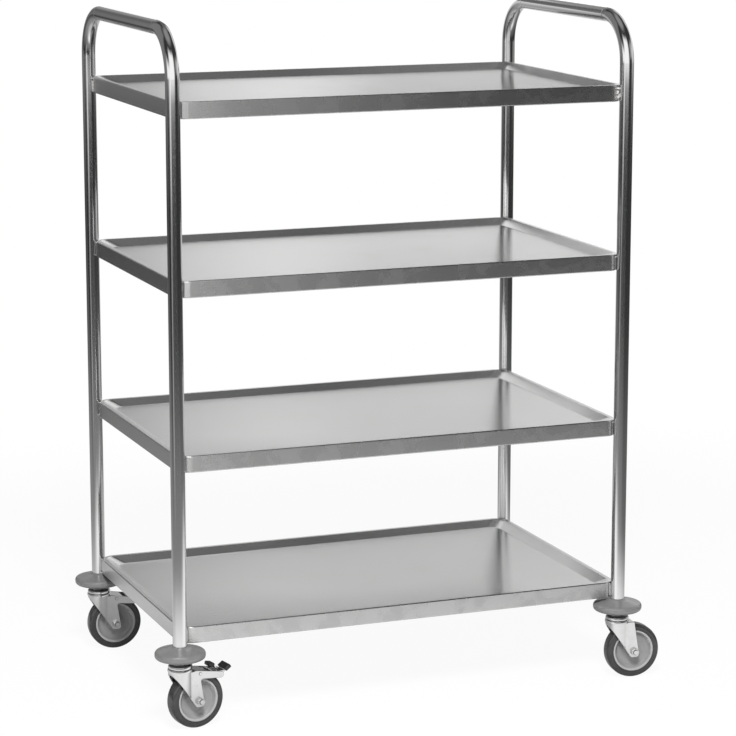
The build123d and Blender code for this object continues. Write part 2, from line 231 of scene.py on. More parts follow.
def makeSmears():
    tree, given, made = newGroup("smears", ["Mask"], Scale=9.0, Cover=0.5, Detail=5.0)
    spread = cloud(tree, objectPlace(tree), Scale=given["Scale"], Detail=given["Detail"], Roughness=0.6,
                   Distortion=0.6)
    above = less(tree, spread, less(tree, 1.0, given["Cover"]))
    plug(tree, remap(tree, above, *smearEdge), made["Mask"])
    return tree


# dust that lies on what faces up
dustLies = {"facing": (0.1, 0.95), "patches": (0.35, 0.75)}


def makeSettledDust():
    tree, given, made = newGroup("settledDust", ["Mask"], Scale=120.0, Amount=0.5)
    up = remap(tree, axesOf(tree, geometry(tree, "Normal"))["Z"], *dustLies["facing"])
    specks = cloud(tree, objectPlace(tree), Scale=given["Scale"], Detail=4.0, Roughness=0.7)
    lying = product(tree, up, remap(tree, specks, *dustLies["patches"]))
    plug(tree, maths(tree, "MULTIPLY", lying, given["Amount"], True), made["Mask"])
    return tree


# wear on corners and edges
wear = {"sharp": (0.51, 0.6), "broken": (0.3, 0.65)}


def makeWornEdges():
    tree, given, made = newGroup("wornEdges", ["Mask"], Scale=200.0, Amount=0.6)
    sharp = remap(tree, geometry(tree, "Pointiness"), *wear["sharp"])
    broken = cloud(tree, objectPlace(tree), Scale=given["Scale"], Detail=3.0)
    kept = product(tree, sharp, remap(tree, broken, *wear["broken"]))
    plug(tree, maths(tree, "MULTIPLY", kept, given["Amount"], True), made["Mask"])
    return tree


# long slow waves of thin sheet, with the short dents of folding laid over them
def makeSheetWaves():
    tree, given, made = newGroup("sheetWaves", ["Height"], Long=6.0, Short=34.0, Share=0.3)
    place = objectPlace(tree)
    slow = cloud(tree, place, Scale=given["Long"], Detail=1.0)
    quick = cloud(tree, place, Scale=given["Short"], Detail=2.0)
    plug(tree, total(tree, slow, product(tree, quick, given["Share"])), made["Height"])
    return tree


# pebbled skin of moulded rubber and plastic
def makeMouldSkin():
    tree, given, made = newGroup("mouldSkin", ["Height", "Tone"], Scale=1500.0)
    place = objectPlace(tree)
    pebbles = addNode(tree, "ShaderNodeTexVoronoi", Vector=place, Scale=given["Scale"])
    plug(tree, pebbles.outputs["Distance"], made["Height"])
    plug(tree, cloud(tree, place, Scale=38.0, Detail=4.0, Roughness=0.65), made["Tone"])
    return tree


rubbingMarks = makeRubbingMarks()
smears = makeSmears()
settledDust = makeSettledDust()
wornEdges = makeWornEdges()
sheetWaves = makeSheetWaves()
mouldSkin = makeMouldSkin()


def useGroup(tree, group, **values):
    made = addNode(tree, "ShaderNodeGroup", node_tree=group)
    for key, value in values.items():
        plug(tree, value, made.inputs[key])
    return made.outputs


# the only output of a group
def maskOf(tree, group, **values):
    return useGroup(tree, group, **values)[0]


def newMaterial(name):
    material = bpy.data.materials.new(name)
    material.use_nodes = True
    tree = material.node_tree
    return material, tree, tree.nodes["Principled BSDF"]


def dress(tree, shader, colour, rough, metallic=0.0):
    plug(tree, colour, shader.inputs["Base Color"])
    plug(tree, rough, shader.inputs["Roughness"])
    shader.inputs["Metallic"].default_value = metallic


# depth in millimetres
def setBump(tree, shader, height, strength, depth):
    bump = addNode(tree, "ShaderNodeBump", Height=height, Strength=strength, Distance=depth * mm)
    tree.links.new(bump.outputs["Normal"], shader.inputs["Normal"])


# finishes; their pairs of roughness are for clean and for marked surfaces
markSpan = (0.3, 0.7)  # where most of the noise lies


# brushed metal: a new material with its grain, then its tint, marks, and roughness in a broad and a fine part
def startBrushed(name, finish):
    material, tree, shader = newMaterial(name)
    along = addNode(tree, "ShaderNodeUVMap", uv_map="grain").outputs["UV"]
    marks = maskOf(tree, rubbingMarks, Place=along, Stretch=finish["stretch"])
    mask = maskOf(tree, smears, Scale=finish["smearScale"], Cover=finish["smearCover"])
    tint = mixColour(tree, mask, grey(finish["level"]), grey(*finish["smeared"]))
    rough = remap(tree, mask, 0.0, 1.0, *finish["rough"])
    fine = remap(tree, marks, *markSpan, *finish["fine"])
    tangent = addNode(tree, "ShaderNodeTangent", direction_type="UV_MAP", uv_map="grain")
    shader.inputs["Anisotropic"].default_value = finish["grain"]
    tree.links.new(tangent.outputs["Tangent"], shader.inputs["Tangent"])
    return material, tree, shader, tint, marks, rough, fine


tubeFinish = {"level": 0.67, "smeared": (0.63, 0.01), "rough": (0.08, 0.1), "fine": (-0.01, 0.02),
              "smearScale": 9.0, "smearCover": 0.4, "stretch": (2600.0, 160.0, 1.0), "grain": 0.86,
              "bump": (0.06, 0.02)}


def makePolishedTube():
    material, tree, shader, tint, marks, rough, fine = startBrushed("polishedTube", tubeFinish)
    dress(tree, shader, tint, total(tree, rough, fine), 1.0)
    setBump(tree, shader, marks, *tubeFinish["bump"])
    return material


# the folded aprons are brushed unevenly, smoother at the short sides, and the welds pull in their ends
sheetFinish = {"level": 0.66, "smeared": (0.65, 0.008), "rough": (0.21, 0.215), "fine": (-0.008, 0.012),
               "smearScale": 11.0, "smearCover": 0.45, "stretch": (2400.0, 14.0, 1.0), "grain": 1.0,
               "upright": (0.1, 0.6), "sideways": (0.3, 0.8), "apron": (0.04, 0.09), "sideApron": -0.012,
               "drawnIn": (0.32, 0.45, 0.0, 9.0), "bump": (0.3, 0.6)}


def makeSatinSheet():
    material, tree, shader, tint, _, rough, fine = startBrushed("satinSheet", sheetFinish)
    facing = axesOf(tree, geometry(tree, "True Normal"))
    upright = remap(tree, size(tree, facing["Z"]), *sheetFinish["upright"], 1.0, 0.0)
    sideways = remap(tree, size(tree, facing["X"]), *sheetFinish["sideways"])
    patches = maskOf(tree, smears, Scale=24.0, Cover=0.5, Detail=2.2)
    extra = remap(tree, patches, 0.0, 1.0, *sheetFinish["apron"])
    extra = mixValue(tree, sideways, extra, sheetFinish["sideApron"])
    folded = total(tree, rough, product(tree, upright, extra))
    dress(tree, shader, tint, total(tree, folded, fine), 1.0)
    waves = maskOf(tree, sheetWaves, Long=9.0, Short=40.0, Share=0.15)
    spot = axesOf(tree, objectPlace(tree))
    fall = remap(tree, size(tree, spot["X"]), *sheetFinish["drawnIn"])
    shape = product(tree, less(tree, waves, fall), upright)
    setBump(tree, shader, shape, *sheetFinish["bump"])
    return material


def makeSmearedMetal(name, scale, cover, clean, marked, rough):
    material, tree, shader = newMaterial(name)
    mask = maskOf(tree, smears, Scale=scale, Cover=cover)
    tint = mixColour(tree, mask, clean, marked)
    dress(tree, shader, tint, remap(tree, mask, 0.0, 1.0, *rough), 1.0)
    return material


# plated steel of forks and fasteners: a fine cloudy plating, duller where it is handled
plating = {"cover": 0.48, "darker": 0.96, "warm": 0.006, "duller": 1.2}


def makePlatedSteel(name, level, rough, scale):
    handled = grey(level * plating["darker"], plating["warm"])
    roughs = (rough, rough * plating["duller"])
    return makeSmearedMetal(name, scale, plating["cover"], grey(level), handled, roughs)


# moulded rubber or plastic: a new material with a pebbled skin, then its clouded colour and the clouds' tone
def startMoulded(name, finish):
    material, tree, shader = newMaterial(name)
    skin = useGroup(tree, mouldSkin, Scale=finish["skin"])
    darker, lighter = [grey(finish["level"] * share) for share in finish["clouds"]]
    setBump(tree, shader, skin["Height"], *finish["bump"])
    return material, tree, shader, mixColour(tree, skin["Tone"], darker, lighter), skin["Tone"]


bumperFinish = {"level": 0.165, "clouds": (0.92, 1.08), "pale": 0.19, "dust": (0.185, 0.02),
                "rough": (0.24, 0.3), "shine": 0.8, "skin": 1700.0, "bump": (0.12, 0.08)}


def makeBumperRubber():
    material, tree, shader, colour, _ = startMoulded("bumperRubber", bumperFinish)
    worn = maskOf(tree, wornEdges, Scale=160.0, Amount=0.4)
    dust = maskOf(tree, settledDust, Scale=150.0, Amount=0.5)
    colour = mixColour(tree, worn, colour, grey(bumperFinish["pale"]))
    colour = mixColour(tree, dust, colour, grey(*bumperFinish["dust"]))
    dress(tree, shader, colour, remap(tree, dust, 0.0, 1.0, *bumperFinish["rough"]))
    shader.inputs["Specular IOR Level"].default_value = bumperFinish["shine"]
    return material


tyreFinish = {"level": 0.034, "clouds": (0.85, 1.15), "scuff": 0.05, "dust": (0.075, 0.03),
              "rough": (0.2, 0.3), "skin": 1300.0, "bump": (0.15, 0.1)}


def makeTyreRubber():
    material, tree, shader, colour, _ = startMoulded("tyreRubber", tyreFinish)
    scuffs = maskOf(tree, smears, Scale=70.0, Cover=0.4)
    dust = maskOf(tree, settledDust, Scale=240.0, Amount=0.35)
    colour = mixColour(tree, scuffs, colour, grey(tyreFinish["scuff"]))
    colour = mixColour(tree, dust, colour, grey(*tyreFinish["dust"]))
    dress(tree, shader, colour, remap(tree, scuffs, 0.0, 1.0, *tyreFinish["rough"]))
    return material


# the rim's lip is painted lighter from the given radius outwards: a painted highlight on the lip against the
# shade of the dished web
rimFinish = {"level": 0.25, "clouds": (0.92, 1.08), "lip": 0.37, "paintedLitLipRadius": (33.6 * mm, 34.6 * mm),
             "pale": 0.5, "rough": (0.2, 0.28), "skin": 2200.0, "bump": (0.06, 0.05)}


def makeRimPlastic():
    material, tree, shader, colour, _ = startMoulded("rimPlastic", rimFinish)
    dull = maskOf(tree, smears, Scale=48.0, Cover=0.45)
    worn = maskOf(tree, wornEdges, Scale=260.0, Amount=0.7)
    spot = axesOf(tree, objectPlace(tree))
    # painted highlight: the lip lighter than the shaded dish
    lip = remap(tree, distance(tree, spot["X"], spot["Z"]), *rimFinish["paintedLitLipRadius"])
    colour = mixColour(tree, lip, colour, grey(rimFinish["lip"]))
    colour = mixColour(tree, worn, colour, grey(rimFinish["pale"]))
    dress(tree, shader, colour, remap(tree, dull, 0.0, 1.0, *rimFinish["rough"]))
    return material


blackFinish = {"clouds": (0.8, 1.3), "worn": 3, "dullRough": 0.12, "skin": 1900.0, "bump": (0.2, 0.1)}


def makeBlackPlastic(name, level, rough):
    material, tree, shader, colour, tone = startMoulded(name, {**blackFinish, "level": level})
    worn = maskOf(tree, wornEdges, Scale=220.0, Amount=0.5)
    colour = mixColour(tree, worn, colour, grey(level * blackFinish["worn"]))
    dress(tree, shader, colour, remap(tree, tone, *markSpan, rough, rough + blackFinish["dullRough"]))
    return material


polishedTube = makePolishedTube()
satinSheet = makeSatinSheet()
stiffenerSheet = makePlatedSteel("stiffenerSheet", 0.4, 0.42, 16.0)  # mill finish, left unbrushed
weldMetal = makeSmearedMetal("weldMetal", 260.0, 0.45, grey(0.74, 0.01), grey(0.56, 0.05), (0.26, 0.4))
bumperRubber = makeBumperRubber()
tyreRubber = makeTyreRubber()
rimPlastic = makeRimPlastic()
pedalPlastic = makeBlackPlastic("pedalPlastic", 0.012, 0.32)
plugPlastic = makeBlackPlastic("plugPlastic", 0.05, 0.45)
forkSteel = makePlatedSteel("forkSteel", 0.6, 0.17, 60.0)
groundWeld = makePlatedSteel("groundWeld", 0.5, 0.22, 80.0)
raceSteel = makePlatedSteel("raceSteel", 0.66, 0.07, 90.0)
neckSteel = makePlatedSteel("neckSteel", 0.2, 0.12, 90.0)  # darker plated steel for the neck
brightSteel = makePlatedSteel("brightSteel", 0.58, 0.04, 150.0)
finishes = {
    "polished_tube": polishedTube,
    "satin_sheet": stiffenerSheet,
    "weld_metal": weldMetal,
    "bumper_rubber": bumperRubber,
    "plug_plastic": plugPlastic,
    "bright_steel": brightSteel,
    "race_steel": raceSteel,
    "fork_steel": forkSteel,
    "tyre_rubber": tyreRubber,
    "rim_plastic": rimPlastic,
    "pedal_plastic": pedalPlastic,
}
for part in frame["record"]["subparts"]:
    for slot in nodes[part["node"]].material_slots:
        slot.material = finishes[part["material_slot"]]
for name, corner in corners.items():
    if corner["brake"]:
        for slot in nodes[f"{name}_brake_pin"].material_slots:
            slot.material = forkSteel  # riveted over and plated with the fork
print("finishes made:", len(finishes))


# mesh helpers
def newPiece(name, mesh, material, body, replaced=(), place=None, sharp=40.0):
    mesh.materials.clear()
    mesh.materials.append(material)
    mesh.polygons.foreach_set("use_smooth", [True] * len(mesh.polygons))
    mesh.set_sharp_from_angle(angle=math.radians(sharp))
    piece = linkNew(name, mesh)
    if place is not None:
        piece.matrix_world = place
    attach(piece, body)
    if replaced:
        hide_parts(*replaced)
    return piece


def plainMesh(name, verts, faces):
    mesh = bpy.data.meshes.new(name)
    mesh.from_pydata(verts, [], faces)
    mesh.update()
    return mesh


def meshFrom(form, mesh):
    form.to_mesh(mesh)
    form.free()
    return mesh


def faceOutward(mesh):
    form = bmesh.new()
    form.from_mesh(mesh)
    bmesh.ops.recalc_face_normals(form, faces=form.faces)
    return meshFrom(form, mesh)


# four-sided faces between rows of points, each row a ring; closed joins the last row to the first
def bandFaces(rows, count, closed=False, first=0):
    faces = []
    for row in range(rows if closed else rows - 1):
        here = first + row * count
        above = first + (row + 1) % rows * count
        for step in range(count):
            beside = (step + 1) % count
            faces.append((here + step, here + beside, above + beside, above + step))
    return faces


# the faces that shut both ends of such rows
def endFaces(rows, count, first=0):
    last = first + (rows - 1) * count
    return [tuple(range(first + count - 1, first - 1, -1)), tuple(range(last, last + count))]


# a line through given corners (across, up, radius), each rounded by its radius
def roundedPath(given, steps):
    path = []
    for index, (across, up, radius) in enumerate(given):
        here = Vector((across, up))
        if not radius:
            path.append(here)
            continue
        before = (Vector(given[index - 1][:2]) - here).normalized()
        after = (Vector(given[(index + 1) % len(given)][:2]) - here).normalized()
        half = before.angle(after) / 2
        centre = here + (before + after).normalized() * (radius / math.sin(half))
        start = here + before * (radius / math.tan(half)) - centre
        end = here + after * (radius / math.tan(half)) - centre
        first = math.atan2(start.y, start.x)
        turn = (math.atan2(end.y, end.x) - first + math.pi) % (2 * math.pi) - math.pi
        for step in range(steps + 1):
            angle = first + turn * step / steps
            path.append(centre + Vector((math.cos(angle), math.sin(angle))) * radius)
    return path


# a closed line of corners (radius, height, rounding) in millimetres turned about the Z axis, or Y for wheels
def turnedMesh(name, given, steps, segments, aboutY=False):
    outline = [point * mm for point in roundedPath(given, steps)]
    verts = []
    for step in range(segments):
        angle = 2 * math.pi * step / segments
        for point in outline:
            if aboutY:
                verts.append((point.x * math.cos(angle), point.y, -point.x * math.sin(angle)))
            else:
                verts.append((point.x * math.cos(angle), point.x * math.sin(angle), point.y))
    return faceOutward(plainMesh(name, verts, bandFaces(segments, len(outline), True)))


# end frames: one bent tube each
tube = {"radius": 12.5 * mm, "bend": 80.0 * mm, "low": 131.0 * mm, "top": 1209.0 * mm, "segments": 56,
        "bendSteps": 28, "postSteps": 24, "flatten": 0.025, "widen": 0.5, "seamWide": 3.0 * mm,
        "seamProud": 0.13 * mm, "seamSteps": 8, "plainAfter": (3.2 * mm, 5.0 * mm, 20.0 * mm)}


# centre line of an end frame in its own upright plane: along Y, up, how far into a bend (0 to 1), and the
# small swelling of the seams where the bar meets its bends
def tubeLine():
    top = tube["top"] - tube["radius"]
    bend = tube["bend"]
    inner = -posts["Y"] + bend
    line = []
    for step in range(tube["postSteps"]):
        share = step / tube["postSteps"]
        line.append((-posts["Y"], tube["low"] + (top - bend - tube["low"]) * share, 0.0, 0.0))
    for step in range(tube["bendSteps"] + 1):
        share = step / tube["bendSteps"]
        angle = math.radians(180 - 90 * share)
        line.append((inner + bend * math.cos(angle), top - bend + bend * math.sin(angle), share, 0.0))
    for step in range(1, tube["seamSteps"] + 1):
        share = step / tube["seamSteps"]
        swell = tube["seamProud"] * math.sin(math.pi * share) ** 2
        line.append((inner + tube["seamWide"] * share, top, 0.0, swell))
    for beyond in tube["plainAfter"]:
        line.append((inner + beyond, top, 0.0, 0.0))
    back = [(-along, up, share, swell) for along, up, share, swell in reversed(line)]
    return line + back


def tubeMesh(name, side):
    line = tubeLine()
    count = tube["segments"]
    verts = []
    lengths = []
    run = 0.0
    for index, (along, up, share, swell) in enumerate(line):
        before = Vector(line[max(index - 1, 0)][:2])
        after = Vector(line[min(index + 1, len(line) - 1)][:2])
        forward = (after - before).normalized()
        inward = Vector((-forward.y, forward.x))
        if index:
            run += (Vector((along, up)) - before).length
        lengths.append(run)
        press = tube["flatten"] * math.sin(math.pi * share) ** 2
        for step in range(count):
            angle = 2 * math.pi * step / count
            aside = (tube["radius"] * (1 + press * tube["widen"]) + swell) * math.cos(angle)
            deep = (tube["radius"] * (1 - press) + swell) * math.sin(angle)
            verts.append((side * posts["X"] + aside, along + inward.x * deep, up + inward.y * deep))
    mesh = plainMesh(name, verts, bandFaces(len(line), count) + endFaces(len(line), count))
    grain = mesh.uv_layers.new(name="grain")
    for face in mesh.polygons:
        wraps = face.loop_total == 4 and {v % count for v in face.vertices} == {0, count - 1}
        for corner in face.loop_indices:
            vertex = mesh.loops[corner].vertex_index
            around = vertex % count
            if wraps and around == 0:
                around = count
            grain.data[corner].uv = (lengths[vertex // count], around / count * 2 * math.pi * tube["radius"])
    return faceOutward(mesh)


for end, side in (("left", -1), ("right", 1)):
    newPiece(f"{end}EndTube", tubeMesh(f"{end}EndTube", side), polishedTube, "frame",
             (f"{end}_end_frame",))
print("end tubes bent")

# shelves: drawn trays with folded aprons, from a profile carried round the rounded outline
tray = {"halfX": 414.0 * mm, "halfY": 254.0 * mm, "cornerRadius": 27.0 * mm, "floorCorner": 22.0 * mm,
        "leastCorner": 8.0 * mm, "sheet": 1.0 * mm, "apron": 29.0 * mm, "flange": 11.0 * mm, "rim": 8.0 * mm,
        "slope": 18.0 * mm, "drop": 11.0 * mm, "foldRadius": 2.0 * mm, "rimRadius": 2.5 * mm,
        "floorRadius": 4.0 * mm, "floorStart": 8.0 * mm, "foldSteps": 5, "cornerSteps": 12, "longSteps": 40,
        "shortSteps": 24, "floorInsets": (45.0, 90.0, 140.0, 190.0, 232.0), "sharp": 60.0}


# one loop of the shelf's outline, inset and with its own corner radius: places and outward directions
def trayLoop(inset, radius):
    halfX = tray["halfX"] - inset
    halfY = tray["halfY"] - inset
    loop = []
    turns = ((1, 1, tray["longSteps"]), (-1, 1, tray["shortSteps"]), (-1, -1, tray["longSteps"]),
             (1, -1, tray["shortSteps"]))
    for index, (sideX, sideY, steps) in enumerate(turns):
        centre = Vector((sideX * (halfX - radius), sideY * (halfY - radius)))
        for step in range(tray["cornerSteps"] + 1):
            angle = math.radians(90 * index + 90 * step / tray["cornerSteps"])
            outward = Vector((math.cos(angle), math.sin(angle)))
            loop.append((centre + outward * radius, outward))
        nextX, nextY, _ = turns[(index + 1) % 4]
        start = loop[-1][0]
        end = Vector((nextX * (halfX - radius), nextY * (halfY - radius))) + loop[-1][1] * radius
        for step in range(1, steps):
            loop.append((start.lerp(end, step / steps), loop[-1][1]))
    return loop


def trayCorner(inset, low):
    if low or inset <= tray["rim"]:
        return tray["cornerRadius"] - inset
    span = tray["floorCorner"] - (tray["cornerRadius"] - tray["rim"])
    share = min((inset - tray["rim"]) / tray["slope"], 1.0)
    beyond = max(inset - tray["rim"] - tray["slope"], 0.0)
    return max(tray["cornerRadius"] - tray["rim"] + span * share - beyond, tray["leastCorner"])


def trayMesh():
    edge = tray["rim"] + tray["slope"]
    profile = roundedPath([
        (tray["flange"], -tray["apron"], 0.0),
        (0.0, -tray["apron"], tray["foldRadius"]),
        (0.0, 0.0, tray["foldRadius"]),
        (tray["rim"], 0.0, tray["rimRadius"]),
        (edge, -tray["drop"], tray["floorRadius"]),
        (edge + tray["floorStart"], -tray["drop"], 0.0),
    ], tray["foldSteps"])
    profile += [Vector((inset * mm, -tray["drop"])) for inset in tray["floorInsets"]]
    verts = []
    flats = []
    run = 0.0
    length = sum((b - a).length for a, b in zip(profile, profile[1:]) if a.x <= edge)
    base = trayLoop(edge, trayCorner(edge, False))
    for index, point in enumerate(profile):
        if index:
            run += (point - profile[index - 1]).length
        low = point.y < -tray["apron"] / 2 and point.x <= tray["flange"] + mm
        for (spot, outward), (ground, _) in zip(trayLoop(point.x, trayCorner(point.x, low)), base):
            verts.append((spot.x, spot.y, point.y))
            flats.append(ground + outward * (length - run))
    rows = len(profile)
    count = len(base)
    mesh = plainMesh("tray", verts, bandFaces(rows, count) + endFaces(rows, count)[1:])
    grain = mesh.uv_layers.new(name="grain")
    for face in mesh.polygons:
        onFloor = all(profile[v // count].x >= edge for v in face.vertices)
        for corner in face.loop_indices:
            vertex = mesh.loops[corner].vertex_index
            flat = Vector(verts[vertex][:2]) if onFloor else flats[vertex]
            grain.data[corner].uv = (flat.y, flat.x)
    return mesh


trayForm = trayMesh()
for shelf, height in rimHeights.items():
    piece = newPiece(f"{shelf}Tray", trayForm.copy(), satinSheet, "frame", (shelf,),
                     Matrix.Translation((0, 0, height)), tray["sharp"])
    gauge = piece.modifiers.new("sheetGauge", "SOLIDIFY")
    gauge.thickness = tray["sheet"]
    gauge.offset = -1.0
    gauge.use_even_offset = True
    piece.data.materials.append(stiffenerSheet)
    gauge.material_offset = 1
    piece.modifiers.new("flatFaces", "WEIGHTED_NORMAL").keep_sharp = True
print("shelves folded")

# weld beads: rippled runs in the hollows between posts and shelf corners; two stand proud and are left
# unground, each with its share of the usual radius and its own lumps
weld = {"radius": 1.7 * mm, "spread": (0.85, 1.1), "set": 1.5 * mm, "ripple": 2.3 * mm, "rippleDepth": 0.02,
        "rippleTilt": 0.6 * mm, "phase": (0, 6.28), "lumps": 0.05, "lumpSize": (300, 180), "shift": (0, 9.0),
        "rounds": 14, "rings": 60, "blunt": 10, "tip": 0.02, "inset": 1.6 * mm, "seed": 4, "sharp": 75.0,
        "proud": {("top_shelf", "front_right", 0): (2.9, 0.4), ("top_shelf", "back_left", 1): (2.2, 0.03)}}


def weldSpots():
    cornerX = tray["halfX"] - tray["cornerRadius"]
    cornerY = tray["halfY"] - tray["cornerRadius"]
    reach = (posts["X"] - cornerX) * math.sqrt(2)
    nearPost = tube["radius"] + weld["set"]
    nearCorner = tray["cornerRadius"] + weld["set"]
    along = (nearCorner ** 2 - nearPost ** 2 + reach ** 2) / (2 * reach)
    aside = math.sqrt(nearCorner ** 2 - along ** 2)
    low = (along - aside) / math.sqrt(2)
    high = (along + aside) / math.sqrt(2)
    spots = []
    for name, corner in corners.items():
        for side, (across, deep) in enumerate(((low, high), (high, low))):
            spotX = corner["sideX"] * (cornerX + across)
            spots.append((name, side, spotX, corner["sideY"] * (cornerY + deep)))
    return spots


def weldMesh():
    rng = random.Random(weld["seed"])
    verts = []
    faces = []
    tall = tray["apron"] - 2 * weld["inset"]
    rows = weld["rings"] + 1
    count = weld["rounds"]
    across, upward = weld["lumpSize"]
    for shelf, height in rimHeights.items():
        for name, side, spotX, spotY in weldSpots():
            proud, lumps = weld["proud"].get((shelf, name, side), (1.0, weld["lumps"]))
            radius = weld["radius"] * proud * rng.uniform(*weld["spread"])
            phase = rng.uniform(*weld["phase"])
            shift = rng.uniform(*weld["shift"])
            start = len(verts)
            for ring in range(rows):
                share = ring / weld["rings"]
                level = height - tray["apron"] + weld["inset"] + tall * share
                blunt = math.sqrt(max(0.0, 1 - (2 * share - 1) ** weld["blunt"]))
                ends = min(1.0, blunt + weld["tip"])
                rib = abs(math.sin(math.pi * level / weld["ripple"] + phase))
                for step in range(count):
                    angle = 2 * math.pi * step / count
                    turnX = math.cos(angle)
                    turnY = math.sin(angle)
                    lump = noise.noise((spotX * across + turnX + shift, spotY * across + turnY,
                                        level * upward))
                    reach = radius * ends * (1 - weld["rippleDepth"] * (1 - rib) + lumps * lump)
                    tilt = weld["rippleTilt"] * math.sin(angle + phase)
                    verts.append((spotX + reach * turnX, spotY + reach * turnY, level + tilt))
            faces += bandFaces(rows, count, False, start) + endFaces(rows, count, start)
    return plainMesh("weldBeads", verts, faces)


beads = newPiece("weldBeads", weldMesh(), weldMetal, "frame", ("shelf_welds",), None,
                 weld["sharp"])
beads.data.materials.append(groundWeld)
beadFaces = weld["rounds"] * weld["rings"] + 2
order = [(shelf, name, side) for shelf in rimHeights for name, side, _, _ in weldSpots()]
ground = [0 if spot in weld["proud"] else 1 for spot in order for _ in range(beadFaces)]
beads.data.polygons.foreach_set("material_index", ground)

# a small open pit in the top shelf's back left weld: a ring with a black floor in it, painted shade for the
# depth of the hole
pit = {"angle": 232.0, "reach": 3.9, "down": 6.0, "radius": 2.8, "bore": 1.9, "sunk": -0.2, "proud": 0.5,
       "floor": 0.08, "gap": 0.02, "segments": 32}


def pitPlace():
    angle = math.radians(pit["angle"])
    outward = Vector((math.cos(angle), math.sin(angle), 0.0))
    bead = [(x, y) for name, side, x, y in weldSpots() if name == "back_left" and side == 1][0]
    spot = Vector((*bead, rimHeights["top_shelf"] - pit["down"] * mm)) + outward * pit["reach"] * mm
    return Matrix.Translation(spot) @ outward.to_track_quat("Z", "Y").to_matrix().to_4x4()


pitRing = turnedMesh("pitRing", [
    (pit["bore"], pit["sunk"], 0.0),
    (pit["radius"], pit["sunk"], 0.0),
    (pit["radius"], pit["proud"], 0.45),
    (pit["bore"], pit["proud"], 0.15),
], 4, pit["segments"])
pitShadeFloor = turnedMesh("pitShadeFloor", [
    (pit["gap"], pit["sunk"], 0.0),
    (pit["bore"] - pit["gap"], pit["sunk"], 0.0),
    (pit["bore"] - pit["gap"], pit["floor"], 0.0),
    (pit["gap"], pit["floor"], 0.0),
], 1, pit["segments"])
newPiece("pitRing", pitRing, weldMetal, "frame", (), pitPlace())
# black floor: painted shade inside the pit
newPiece("pitShadeFloor", pitShadeFloor, pedalPlastic, "frame", (), pitPlace())
print("welds laid")

# casters: each piece is drawn once, in millimetres, and copied to the corners

# bumper discs
bumper = {"low": 125.0, "top": 148.5, "radius": 44.0, "foot": 29.0, "edge": 133.5, "edgeHalf": 6.0,
          "edgeRadius": 5.9, "tube": 12.55, "bore": 5.1, "socket": 131.0, "segments": 128}
bumperForm = turnedMesh("bumper", [
    (bumper["bore"], bumper["low"], 0.0),
    (bumper["foot"], bumper["low"], 3.0),
    (bumper["radius"], bumper["edge"] - bumper["edgeHalf"], bumper["edgeRadius"]),
    (bumper["radius"], bumper["edge"] + bumper["edgeHalf"], bumper["edgeRadius"]),
    (bumper["tube"] + 5.0, bumper["top"] - 1.8, 9.0),
    (bumper["tube"] + 1.4, bumper["top"], 0.7),
    (bumper["tube"], bumper["top"], 0.5),
    (bumper["tube"], bumper["socket"], 0.0),
    (bumper["bore"], bumper["socket"], 0.0),
], 8, bumper["segments"])

# upper race: a neck that flares into a ring; the neck is dark from the given height
race = {"bore": 5.05, "low": 110.1, "ringLow": 21.2, "ring": 20.75, "ringTop": 115.0, "neckLow": 19.7,
        "neck": 17.2, "neckTop": 15.0, "top": 125.0, "dark": 115.8, "segments": 96}
raceForm = turnedMesh("upperRace", [
    (race["bore"], race["low"], 0.0),
    (race["ringLow"], race["low"], 0.9),
    (race["ring"], race["ringTop"], 1.6),
    (race["neckLow"], race["ringTop"] + 0.3, 0.2),
    (race["neck"], race["ringTop"] + 3.0, 3.0),
    (race["neckTop"], race["top"], 0.0),
    (race["bore"], race["top"], 0.0),
], 6, race["segments"])

# rolled collar that covers the lower race on the fork's crown
collar = {"inner": 19.8, "low": 104.7, "top": 109.2, "lowRadius": 22.2, "topRadius": 21.75, "segments": 96}
collarForm = turnedMesh("raceCollar", [
    (collar["inner"], collar["low"], 0.0),
    (collar["lowRadius"], collar["low"], 0.5),
    (collar["topRadius"], collar["top"], 1.1),
    (collar["inner"], collar["top"] + 0.15, 0.0),
], 6, collar["segments"])

# wheels: corners of one side, mirrored to the other
wheel = {"trail": 28.0 * mm, "axle": 50.0 * mm, "segments": 144}


def wheelMesh(name, side, steps):
    other = [(across, -up, radius) for across, up, radius in reversed(side)]
    return turnedMesh(name, side + other, steps, wheel["segments"], True)


tyre = {"radius": 50.0, "bore": 38.02, "half": 12.5, "shoulder": 6.0, "groove": 0.35}
tyreForm = wheelMesh("tyre", [
    (tyre["radius"], tyre["half"], tyre["shoulder"]),
    (tyre["bore"] + 3.2, tyre["half"], 0.3),
    (tyre["bore"] + 2.6, tyre["half"] - tyre["groove"], 0.2),
    (tyre["bore"] + 2.2, tyre["half"], 0.3),
    (tyre["bore"] + 1.2, tyre["half"], 0.4),
    (tyre["bore"], tyre["half"] - 0.3, 0.0),
], 6)
rim = {"bore": 6.5, "hub": 10.2, "hubHalf": 15.4, "radius": 38.0, "lip": 12.0}
rimForm = wheelMesh("rim", [
    (rim["bore"], rim["hubHalf"], 0.0),
    (rim["hub"], rim["hubHalf"], 0.7),
    (rim["hub"] + 1.3, 7.2, 3.0),
    (19.0, 4.3, 9.0),
    (30.2, 5.4, 7.0),
    (34.2, 10.9, 0.8),
    (34.9, rim["lip"], 0.5),
    (rim["radius"], rim["lip"], 0.4),
], 7)

# axle nut on the front cheek: a hexagon with its corners turned off by cones, around a bore that is
# countersunk at its outer end
axle = {"flat": 6.5, "cheek": 18.0, "nut": 6.5, "bore": 4.05, "sink": 1.1, "face": 0.96, "cone": 0.6,
        "parts": 6, "sharp": 25.0}


